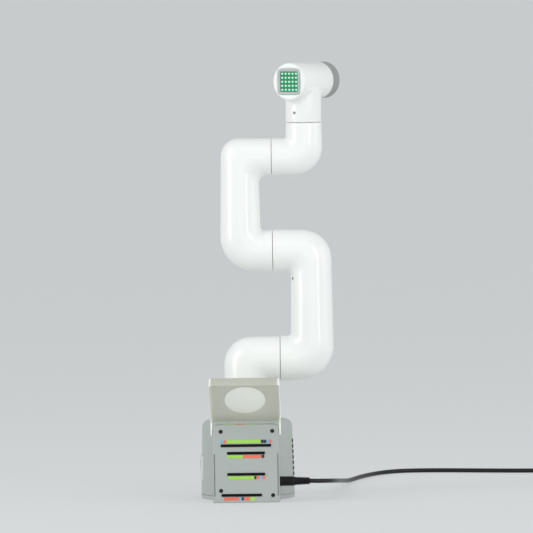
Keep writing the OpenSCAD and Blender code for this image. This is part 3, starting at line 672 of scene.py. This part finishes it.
# each link's tubes, the outer and inner radius of each bend, the side it bends to, the holes of its
# end walls, its screw seats (x, z, half depth of the tube there) and its body
LINKS = {
    "shoulder": (
        [Leg((0, J1_SEAM + GAP), (0, J2), 22.5, 22.5), Leg((0, J2), (SEAM_2 - GAP, J2), 22.5, 22.8)],
        [(28.1, 3.0)], -1, (SHAFT_HOLE, BOSS_HOLE),
        [(0, 106, 22.5), (-13, J2, 17.8)], "shoulder",
    ),
    "upper_arm": (
        [Leg((SEAM_2 + GAP, J2), (UPPER_X - 12, J2), 23.6, 22.0),
         Leg((UPPER_X, J2 + 13), (UPPER_X, J3 - 8.6), 22.0, 20.9),
         Leg((UPPER_X - 9, J3), (SEAM_34 + GAP, J3), 20.9, 21.8)],
        [(35.0, 4.0), (29.6, 4.2)], 1, (SHAFT_HOLE, BOSS_HOLE),
        [(75, 142.5, 19.3), (UPPER_X, 186, 21.6), (UPPER_X, 214, 21.27)], "upper_arm",
    ),
    "forearm": (
        [Leg((SEAM_34 - GAP, J3), (FORE_X + 14.8, J3), 21.8, 20.9),
         Leg((FORE_X, J3 + 14.8), (FORE_X, J4), 20.9, 19.3),
         Leg((FORE_X, J4), (SEAM_34 - GAP, J4), 19.3, 19.0)],
        [(35.7, 3.2), (18.6, 8.0)], -1, (SHAFT_HOLE, BOSS_HOLE),
        [(-9, 251, 17.9), (FORE_X, 290, 20.45), (FORE_X, 318, 19.9)], "forearm",
    ),
    "wrist": (
        [Leg((SEAM_34 + GAP, J4), (WRIST_X - 9.9, J4), 19.0, 18.7),
         Leg((WRIST_X, J4 + 9.9), (WRIST_X, J5 - GAP), 18.7, 18.35)],
        [(28.6, 2.2)], 1, (SHAFT_HOLE, BOSS_HOLE),
        [(42, J4, 18.85), (62, 344, 17.3)], "wrist",
    ),
}

shells = {}
for link, (legs, bends, way, holes, seats, body) in LINKS.items():
    for rear in (False, True):
        side = "rear" if rear else "front"
        obj = build(f"{link}_{side}_moulding", link_shell(legs, bends, way, holes, rear), WHITE, body,
                    [f"{link}_{side}_shell"], angle=40)
        if rear:
            carve(obj, screw_seats(seats), angle=40)
        shells[link, side] = obj


def seat_frame(centre, turn, out, z):
    """Frame at a small side screw: its Z runs into the tube."""
    return (Matrix.Translation((centre, 0, z)) @ Matrix.Rotation(math.radians(turn), 4, "Z")
            @ Matrix.Translation((-out, 0, 0)) @ Matrix.Rotation(math.radians(90), 4, "Y"))


SMALL_SEAT = lathe([(1.65, -2), (1.65, 1.5)], 24, loop=False)
carve(shells["upper_arm", "front"], moved(SMALL_SEAT, seat_frame(UPPER_X, 26, 20.9, J3 - 28.3)), angle=40)

# ---------------------------------------------------------------- head and flange

HEAD_TURN = math.radians(29.5)
HEAD_R = 19.1
NECK_R = 18.35
REACH = 28.5
CAP_T = 3.2
SEAM_6 = 29.8
AT_HEAD = (Matrix.Translation((WRIST_X, 0, J6)) @ Matrix.Rotation(-HEAD_TURN, 4, "Z")
           @ Matrix.Rotation(math.radians(-90), 4, "X"))

back = SEAM_6 - GAP
tube = moved(lathe([(HEAD_R - 0.25, -REACH + CAP_T), (HEAD_R, -REACH + CAP_T + 0.25), (HEAD_R, back - 0.5),
                    (HEAD_R - 0.14, back - 0.15), (HEAD_R - 0.5, back)], 128, loop=False), AT_HEAD)
neck_low = J5 + GAP
head = build("head_moulding", tube, WHITE, "head", ["head_shell"], angle=40)
AT_NECK = Matrix.Translation((WRIST_X, 0, 0)) @ Matrix.Rotation(-HEAD_TURN, 4, "Z")
neck = moved(lathe([(NECK_R - 0.5, neck_low), (NECK_R - 0.14, neck_low + 0.15), (NECK_R, neck_low + 0.5),
                    (NECK_R, J6)], 128, loop=False), AT_NECK)
carve(head, neck, "UNION", angle=40)
inside = moved(lathe([(HEAD_R - WALL, -REACH), (HEAD_R - WALL, back - END_WALL)], 96, loop=False), AT_HEAD)
carve(head, inside, angle=40)
inside = moved(lathe([(NECK_R - WALL, neck_low + END_WALL), (NECK_R - WALL, J6)], 96, loop=False), AT_NECK)
carve(head, inside, angle=40)
neck_screw = (Matrix.Translation((WRIST_X, 0, J5 + 10)) @ Matrix.Rotation(-HEAD_TURN, 4, "Z")
              @ Matrix.Translation((0, -NECK_R, 0)) @ Matrix.Rotation(math.radians(-90), 4, "X"))
top_screw = AT_HEAD @ Matrix.Translation((0, -HEAD_R, 5)) @ Matrix.Rotation(math.radians(-90), 4, "X")
carve(head, joined([
    moved(lathe([(BOSS_HOLE, back - 6), (BOSS_HOLE, back + 3)], 48, loop=False), AT_HEAD),
    moved(lathe([(SHAFT_HOLE, J5 - 3), (SHAFT_HOLE, J5 + 6)], 48, loop=False), AT_NECK),
    moved(SMALL_SEAT, neck_screw), moved(SMALL_SEAT, top_screw),
]), angle=40)

# soft fillet where the neck runs into the head's tube
fillet_rings = []
FILLET = 5.0
for k in range(96):
    a = 2 * math.pi * k / 96
    along, across = NECK_R * math.cos(a), NECK_R * math.sin(a)
    meet = -math.sqrt(HEAD_R**2 - across**2)
    f = FILLET * abs(math.cos(a)) ** 1.2 + 0.02
    way = math.copysign(1, math.cos(a))
    p0 = Vector((along, across, meet - f))
    p1 = Vector((along, across, meet))
    p2 = Vector((along + way * f, across, meet))
    ring = []
    for j in range(9):
        t = j / 8
        ring.append(tuple(p0 * (1 - t) ** 2 + p1 * 2 * t * (1 - t) + p2 * t**2))
    core = Vector((along * 0.97, across * 0.97, meet + 0.6))
    ring.append(tuple(core))
    fillet_rings.append(ring)
AT_CROSS = Matrix.Translation((WRIST_X, 0, J6)) @ Matrix.Rotation(math.radians(90) - HEAD_TURN, 4, "Z")
build("head_fillet", moved(strips(fillet_rings, loop=True), AT_CROSS), WHITE, "head",
      angle=60)

# display cap: round face with a square window
def square_ring(half, r, z, count=96):
    """Ring of a rounded square, with points at even angles so that it pairs with a circle."""
    out = []
    flat_half = half - r
    for k in range(count):
        a = 2 * math.pi * k / count
        c, s = math.cos(a), math.sin(a)
        reach = half / max(abs(c), abs(s))
        x, y = reach * c, reach * s
        if abs(x) > flat_half and abs(y) > flat_half:
            cx, cy = math.copysign(flat_half, x), math.copysign(flat_half, y)
            b = c * cx + s * cy
            reach = b + math.sqrt(b * b - (cx * cx + cy * cy - r * r))
            x, y = reach * c, reach * s
        out.append((x, y, z))
    return out


cap_rings = [square_ring(13.3, 2.55, 6.2), square_ring(13.3, 2.55, 0.45), square_ring(13.5, 2.7, 0.2)]
for r, z in ((16.2, 0.12), (17.6, 0.2), (18.4, 0.5), (18.9, 1.1), (19.1, 1.9), (19.1, 3.0), (18.95, 3.18),
             (16.6, 3.2), (16.6, 6.2)):
    cap_rings.append(circle(r, z, 96))
build("display_cap_moulding", strips(cap_rings, loop=True), CAP_WHITE, "head", ["display_cap"],
      place=AT_HEAD @ Matrix.Translation((0, 0, -REACH)), angle=50)

case_rings = [square_ring(13.15, 2.5, 7), square_ring(13.15, 2.5, 0.35), square_ring(12.85, 2.3, 0.06),
              square_ring(12.5, 2.1, 0), square_ring(11.2, 1.4, 0), square_ring(10.6, 1.0, 0.35),
              square_ring(10.35, 0.9, 0.6), square_ring(10.3, 0.8, 6), square_ring(0.5, 0.2, 6),
              square_ring(0.5, 0.2, 7)]
build("display_bezel", strips(case_rings, loop=True), BEZEL, "head", ["display_case"],
      place=AT_HEAD @ Matrix.Translation((0, 0, -REACH - 0.4)), angle=35)

BOARD_HALF = 10.25
board_outline = rounded(-BOARD_HALF, BOARD_HALF, -BOARD_HALF, BOARD_HALF, 0.9, 5)
board = solid([[(x, y, z) for x, y in board_outline] for z in (-REACH + 1, -REACH + 2.2)])
build("lamp_board", board, LAMP_BOARD, "head", ["display_board"], place=AT_HEAD)
lamps = []
for i in range(-2, 3):
    for j in range(-2, 3):
        dome = lathe([(0.85, 1.0), (0.85, 0.62), (0.74, 0.42), (0.45, 0.32), (0.02, 0.3)], 20, loop=False)
        lamps.append(moved(dome, Matrix.Translation((i * LED_PITCH, j * LED_PITCH, -REACH))))
build("lamps", joined(lamps), LED, "head", ["display_leds"], place=AT_HEAD)

flange_profile = [(5, 0), (18.2, 0), (18.6, 0.15), (18.7, 0.5), (18.7, 12.1), (18.45, 12.9), (17.9, 13.3),
                  (17.2, 13.45), (15.2, 13.5), (15, 13.1), (8.4, 13.1), (8.2, 13.5), (6.3, 13.5), (6, 13.2),
                  (6, 9.5), (16.3, 9.5), (16.3, END_WALL), (5, END_WALL)]
flange = build("flange_turned", lathe(flange_profile, 96), FLANGE, "flange", ["tool_flange"],
               place=AT_HEAD @ Matrix.Translation((0, 0, SEAM_6 + GAP)))
BOLT_R = 1.65
BOLT_CIRCLE_R = 13
bolt = lathe([(BOLT_R, 8), (BOLT_R, 15)], 24, loop=False)
bolts = []
for k in range(4):
    turn = Matrix.Rotation(math.radians(45 + 90 * k), 4, "Z")
    bolts.append(moved(bolt, turn @ Matrix.Translation((BOLT_CIRCLE_R, 0, 0))))
carve(flange, joined(bolts))

# ---------------------------------------------------------------- base housing

BASE_H = 79.5
PLATE_T = 4.6
BASE_R, BASE_R_TOP = 47.75, 46.0
BASE_WALL = 2.6
EDGE = 7.0


def base_r_at(z):
    """Radius of the drafted housing at a height."""
    return BASE_R - (BASE_R - BASE_R_TOP) * (z - PLATE_T) / (BASE_H - EDGE - PLATE_T)


def base_corner(inset, angles):
    """Points of the housing's rounded upper edge, angles in degrees from level to upright."""
    r, centre = EDGE - inset, BASE_R_TOP - EDGE
    out = []
    for degrees in angles:
        a = math.radians(degrees)
        out.append((centre + r * math.cos(a), BASE_H - EDGE + r * math.sin(a)))
    return out


outer_side = [(base_r_at(z), z) for z in (20, 40, 60)] + base_corner(0, range(0, 91, 10))
RING_R = 23.5
ring_top = [(RING_R + 0.4, BASE_H), (RING_R, BASE_H + 0.12), (RING_R, BASE_H + 0.6),
            (RING_R - 0.3, BASE_H + 0.95), (BOSS_HOLE, BASE_H + 0.95), (BOSS_HOLE, BASE_H - 5.6), (RING_R, BASE_H - 5.6),
            (RING_R, BASE_H - BASE_WALL)]
foot = [(BASE_R - BASE_WALL, PLATE_T + 0.02), (BASE_R - 0.3, PLATE_T + 0.02), (BASE_R, PLATE_T + 0.3)]
housing_profile = foot + outer_side + ring_top + base_corner(BASE_WALL, range(90, -1, -15))
housing = build("housing_moulding", lathe(housing_profile, 128), GREY, "base",
                ["base_housing"])


def brick(x0, x1, y0, y1, z0, z1):
    """Plain box, used to cut."""
    return solid([[(x0, y0, z), (x1, y0, z), (x1, y1, z), (x0, y1, z)] for z in (z0, z1)])


LEFT_Y, RIGHT_Y = 0.0, -2.0
LEFT_HALF_W = 13.15
RIGHT_HALF_W, RIGHT_LOW, RIGHT_HIGH, RIGHT_PITCH = 5.65, 22.15, 25.85, 5.6
windows = [brick(-51, -41, LEFT_Y - LEFT_HALF_W, LEFT_Y + LEFT_HALF_W, 18.45, 43.75),
           brick(-27, 27, -60, -34, 12, 64)]
for k in range(7):
    rise = RIGHT_PITCH * k
    windows.append(brick(41, 51, RIGHT_Y - RIGHT_HALF_W, RIGHT_Y + RIGHT_HALF_W,
                         RIGHT_LOW + rise, RIGHT_HIGH + rise))
carve(housing, joined(windows))
soften(housing, 0.35, 50)

# ---------------------------------------------------------------- connector box

PANEL = 68.0
HINGE_Y, HINGE_Z = -PANEL + 3.8, 72.0
BOX_R = 7.0
ROWS = [(-25.4, 58.1, 20), (-19.1, 50.4, 15), (-19.1, 28.9, 15), (-25.2, 7.6, 16)]
PITCH = 2.54
HEADER_H = 2.6
HEADER_PLAY = 0.12
GROOVE_X, GROOVE_HALF = 32.2, 0.6
SCREWS = [(-25.4, 72.4), (26.9, 72.6), (-25.8, 12.2), (26.9, 7.2)]
BOX_BACK = 31.0


def box_ring(y, inset, steps=8):
    """Outline of the box at a distance in front, with its two round upper corners."""
    w, top, low = BOX_HALF_W - inset, BASE_H - inset, inset
    r = max(BOX_R - inset, 0.5)
    out = [(-w, low), (w, low)]
    for cx, start in ((w - r, 0), (-w + r, 90)):
        for k in range(steps + 1):
            a = math.radians(start + 90 * k / steps)
            out.append((cx + r * math.cos(a), top - r + r * math.sin(a)))
    return [(x, -y, z) for x, z in out]


rings = [box_ring(BOX_BACK, BASE_WALL), box_ring(BOX_BACK, 0),
         box_ring(PANEL - 1.3, 0), box_ring(PANEL - 0.75, 0.12),
         box_ring(PANEL - 0.3, 0.45), box_ring(PANEL - 0.05, 0.95), box_ring(PANEL, 1.5)]
verts, faces = strips(rings)
count = len(rings[0])
faces.append(tuple(len(verts) - count + k for k in range(count)))
start = len(verts)
inner_rings = [box_ring(PANEL - BASE_WALL, BASE_WALL)]
# the inside joins the outside along the first ring
verts += inner_rings[0]
faces.append(tuple(start + k for k in range(count)))
for k in range(count):
    n = (k + 1) % count
    faces.append((start + k, start + n, n, k))
box = build("connector_box_moulding", (verts, faces), GREY, "base", ["connector_box"])

cut = []
for left, z, pins in ROWS:
    cut.append(brick(left - HEADER_PLAY, left + pins * PITCH + HEADER_PLAY, -PANEL - 2, -PANEL + 4,
                     z - HEADER_H / 2 - HEADER_PLAY, z + HEADER_H / 2 + HEADER_PLAY))
screw_seat = lathe([(2.3, -2), (2.3, 0.08), (1.87, 0.5), (1.87, 0.95)], 28, loop=False)
for x, z in SCREWS:
    cut.append(moved(screw_seat, along_y(x, -PANEL, z)))
for x in (-GROOVE_X, GROOVE_X):
    cut.append(brick(x - GROOVE_HALF, x + GROOVE_HALF, -PANEL - 2, -PANEL + 1.4, 6.5, 49.5))
cut.append(moved(lathe([(4.6, -4), (4.6, 6)], 32, loop=False), along_x(BOX_HALF_W, PLUG_Y, PLUG_Z)))
hinge_bore = lathe([(1.55, -5), (1.55, 5)], 24, loop=False)
for s in (-1, 1):
    cut.append(moved(hinge_bore, along_x(s * BOX_HALF_W, HINGE_Y, HINGE_Z)))
carve(box, joined(cut))
carve(box, lathe([(BASE_R, PLATE_T - 8), (BASE_R, PLATE_T)] + outer_side, 128, loop=False))
soften(box, 0.3, 50)


def header(left, z, pins):
    """Row of sockets: one tile per pin, with a funnel to its hole and a nick between tiles."""
    parts = []
    y_front, y_back = -PANEL - 0.9, -PANEL + 7.6
    h = HEADER_H / 2
    nick = 0.34
    for k in range(pins):
        x0, x1 = left + k * PITCH + 0.02, left + (k + 1) * PITCH - 0.02
        cx = (x0 + x1) / 2
        outline = [(x0, z - h + nick), (x0 + nick, z - h), (cx, z - h), (x1 - nick, z - h),
                   (x1, z - h + nick), (x1, z), (x1, z + h - nick), (x1 - nick, z + h),
                   (cx, z + h), (x0 + nick, z + h), (x0, z + h - nick), (x0, z)]

        def mouth(half):
            side = half * 0.6
            return [(cx - half, z - side), (cx - side, z - half), (cx, z - half), (cx + side, z - half),
                    (cx + half, z - side), (cx + half, z), (cx + half, z + side), (cx + side, z + half),
                    (cx, z + half), (cx - side, z + half), (cx - half, z + side), (cx - half, z)]

        layers = [(outline, y_back), (outline, y_front + 0.15),
                  ([(cx + (x - cx) * 0.93, z + (w - z) * 0.93) for x, w in outline], y_front),
                  (mouth(0.68), y_front), (mouth(0.42), y_front + 0.5), (mouth(0.4), y_front + 4.5)]
        parts.append(solid([[(x, y, w) for x, w in ring] for ring, y in layers]))
    return joined(parts)


for number, (left, z, pins) in enumerate(ROWS, 1):
    build(f"header_{number}", header(left, z, pins), BLACK, "base",
          [f"header_row_{number}"], angle=30)

# plain colour fields beside the headers: row, left end and right end, and on the roof: ends and tint
LABEL_Z = [62.2, 46.9, 25.4, 4.0]
LABEL_HALF = 1.65
FIELDS = {
    "green": ([(0, -19.7, 15), (1, -19, -3.2), (2, -18.2, 7.9), (3, 3.5, 8.8)], INK_GREEN),
    "red": ([(0, -22.4, -19.8), (0, 23.4, 26), (1, -3, 15.6), (2, 10.3, 13.4), (2, 16.4, 19.3),
             (3, -23.1, -7.6), (3, -2.8, 3.3)], INK_ORANGE),
    "blue": ([(0, -24.9, -22.5), (0, 21, 23.3), (2, 13.6, 15.9), (3, -7.5, -5.2)], INK_BLUE),
    "dark": ([(0, 15.2, 20.8), (1, 15.8, 18.6), (2, 8, 10.2), (3, -5.1, -2.9)], INK_DARK),
}
ROOF = [(-21.3, -10.2, "green"), (-10.2, -0.6, "red"), (-0.6, 10.4, "green")]
for tint, (fields, ink) in FIELDS.items():
    parts = []
    for row, x0, x1 in fields:
        count = max(1, round((x1 - x0) / PITCH))
        step = (x1 - x0) / count
        for k in range(count):
            a, b = x0 + k * step + 0.06, x0 + (k + 1) * step - 0.06
            z = LABEL_Z[row]
            outline = rounded(a, b, z - LABEL_HALF, z + LABEL_HALF, 0.3, 3)
            parts.append(solid([[(x, y, w) for x, w in outline] for y in (-PANEL + 0.02, -PANEL - 0.22)]))
    for x0, x1, kind in ROOF:
        if kind == tint:
            parts.append(block(x0 + 0.1, x1 - 0.1, -PANEL + 1, -PANEL + 3,
                               BASE_H - 0.1, BASE_H + 0.24, 0.3, 0.05))
    build(f"label_blocks_{tint}", joined(parts), ink, "base", [f"labels_{tint}"])

# ---------------------------------------------------------------- dust cover

COVER_HALF, COVER_LEN, COVER_FACE, COVER_DEPTH = 35.6, 68.0, 14.5, 10.2
COVER_WALL, COVER_PLATE, COVER_START = 1.5, 1.8, 0.4
AT_COVER = Matrix.Translation((0, HINGE_Y, HINGE_Z)) @ Matrix.Rotation(math.radians(-134), 4, "X")


def cover_ring(inset, y, corner, top=-COVER_START):
    """Outline of the cover at a depth: drawn closed, hanging from the hinge."""
    points = rounded(-COVER_HALF + inset, COVER_HALF - inset, -COVER_LEN + inset, top + 10, corner, 6)
    return [(x, y, min(z, top)) for x, z in points]


outer_y, rim_y = -COVER_FACE, -COVER_FACE + COVER_DEPTH
tray = solid([cover_ring(0.9, outer_y, 1.6), cover_ring(0.3, outer_y + 0.25, 2.1),
              cover_ring(0, outer_y + 0.9, 2.4),
              cover_ring(0, rim_y - 0.3, 2.4), cover_ring(0.3, rim_y, 2.1)])
cover = build("cover_moulding", tray, FROST, "cover", ["dust_cover"], place=AT_COVER)
floor_y = outer_y + COVER_PLATE
hollow = solid([cover_ring(COVER_WALL + 0.7, floor_y, 0.5, 4),
                cover_ring(COVER_WALL + 0.2, floor_y + 0.2, 0.9, 4),
                cover_ring(COVER_WALL, floor_y + 0.8, 1.2, 4), cover_ring(COVER_WALL, rim_y + 3, 1.2, 4)])
carve(cover, hollow)
DISC_Z = -COVER_LEN / 2 - 1
disc_seat = lathe([(21.35, -2), (21.35, 0.6)], 72, loop=False)
carve(cover, moved(disc_seat, along_y(0, outer_y, DISC_Z)))
EAR_R = 4.2
ears = []
for s in (-1, 1):
    round_the_pin = [math.radians(a) for a in range(-20, 216, 15)]
    outline = [(EAR_R * math.cos(a), EAR_R * math.sin(a)) for a in round_the_pin]
    outline += [(-COVER_FACE, -1.5), (-COVER_FACE, -16), (rim_y, -16), (rim_y, -8), (1.5, -4.4)]
    x_in, x_out = s * (COVER_HALF - COVER_WALL), s * COVER_HALF
    ears.append(solid([[(x, y, z) for y, z in outline] for x in (x_in, x_out)]))
for ear in ears:
    carve(cover, ear, "UNION")
soften(cover, 0.25, 50)
# the side walls' faces take the brighter rim copy: painted light on the cover's rims
cover.data.materials.append(RIM)
for face in cover.data.polygons:
    if abs(face.center.x) > (COVER_HALF - COVER_WALL - 0.1) * MM:
        face.material_index = 1
outer_disc = lathe([(21.1, 0.58), (21.3, 0.4), (21.3, 0.12), (21.15, 0.0), (0.4, 0.0), (0.4, 0.58)], 72)
inner_disc = lathe([(20.6, 0.02), (20.6, 0.16), (20.3, 0.3), (0.4, 0.3), (0.4, 0.02)], 72)
disc = joined([moved(outer_disc, along_y(0, outer_y, DISC_Z)), moved(inner_disc, along_y(0, floor_y, DISC_Z))])
build("cover_disc_face", disc, DISC, "cover", ["cover_window"], place=AT_COVER)

# ---------------------------------------------------------------- CAD nodes that show as they are

KEPT = {
    "base_plate": GREY, "rubber_pads": RUBBER, "panel_screws": SCREW_BLACK, "pin_board": BOARD,
    "dc_socket": SOCKET, "left_ports": PORT, "left_socket": SOCKET, "right_ports": SOCKET,
    "main_board": BOARD, "cover_hinge_pins": PIN_PLASTIC, "adapter_pins": METAL, "head_screws": STEEL,
}
for name in ("base", "shoulder", "elbow", "wrist", "roll", "flange"):
    KEPT[f"{name}_servo"] = SERVO
for name in ("shoulder", "upper_arm", "forearm", "wrist", "head", "flange"):
    KEPT[f"{name}_horn"] = METAL
for name in ("shoulder", "upper_arm", "forearm", "wrist"):
    KEPT[f"{name}_screws"] = STEEL
for name, material in KEPT.items():
    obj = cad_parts[name]
    obj.data.materials.clear()
    obj.data.materials.append(material)
for name in ("base_plate", "panel_screws", "left_ports", "left_socket", "right_ports",
             "adapter_pins", "base_servo", "shoulder_servo", "elbow_servo", "wrist_servo", "roll_servo", "flange_servo"):
    soften(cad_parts[name], 0.2 if "screws" in name else 0.3, 45)

# ---------------------------------------------------------------- floor and light

floor_mesh = bpy.data.meshes.new("floor")
FLOOR_HALF, FLOOR_Z = 120, -0.0003
floor_corners = [(x * FLOOR_HALF, y * FLOOR_HALF, FLOOR_Z) for x, y in ((-1, -1), (1, -1), (1, 1), (-1, 1))]
floor_mesh.from_pydata(floor_corners, [], [(0, 1, 2, 3)])
floor = bpy.data.objects.new("floor", floor_mesh)
scene.collection.objects.link(floor)
m, tree, shader = new_material("studio_floor")
glow = tree.nodes.new("ShaderNodeEmission")
glow.inputs["Color"].default_value = linear((206, 209, 210))
glow.inputs["Strength"].default_value = 0.61
shader.inputs["Base Color"].default_value = linear((150, 152, 152))
shader.inputs["Roughness"].default_value = 0.85
shader.inputs["Specular IOR Level"].default_value = 0.15
blend = tree.nodes.new("ShaderNodeAddShader")
tree.links.new(shader.outputs[0], blend.inputs[0])
tree.links.new(glow.outputs[0], blend.inputs[1])
tree.links.new(blend.outputs[0], tree.nodes["Material Output"].inputs["Surface"])
floor_mesh.materials.append(m)

world = bpy.data.worlds.new("world")
scene.world = world
world.use_nodes = True
world.node_tree.nodes["Background"].inputs["Color"].default_value = linear((212, 216, 218))
world.node_tree.nodes["Background"].inputs["Strength"].default_value = 0.86


def softbox(name, azimuth, distance, height, width, tall, power):
    """Tall soft light that faces the arm; azimuth 0 is the camera's side, positive to the right."""
    data = bpy.data.lights.new(name, "AREA")
    data.shape = "RECTANGLE"
    data.size, data.size_y = width, tall
    data.energy = power
    obj = bpy.data.objects.new(name, data)
    scene.collection.objects.link(obj)
    a = math.radians(azimuth)
    obj.location = (distance * math.sin(a), -distance * math.cos(a), height)
    aim = Vector((0.03, 0, 0.25)) - obj.location
    obj.rotation_euler = aim.to_track_quat("-Z", "Y").to_euler()
    obj.visible_camera = False
    return obj


softbox("left_softbox", -62, 1.6, 0.75, 0.5, 1.7, 11.5)
softbox("right_softbox", 40, 2.2, 0.8, 0.4, 1.8, 11.5)
softbox("side_fill", 78, 2.4, 0.7, 1.4, 1.8, 9)
softbox("overhead", 10, 2.0, 2.2, 1.6, 1.6, 6)
softbox("front_fill", 8, 3.0, 0.5, 1.6, 1.2, 5)
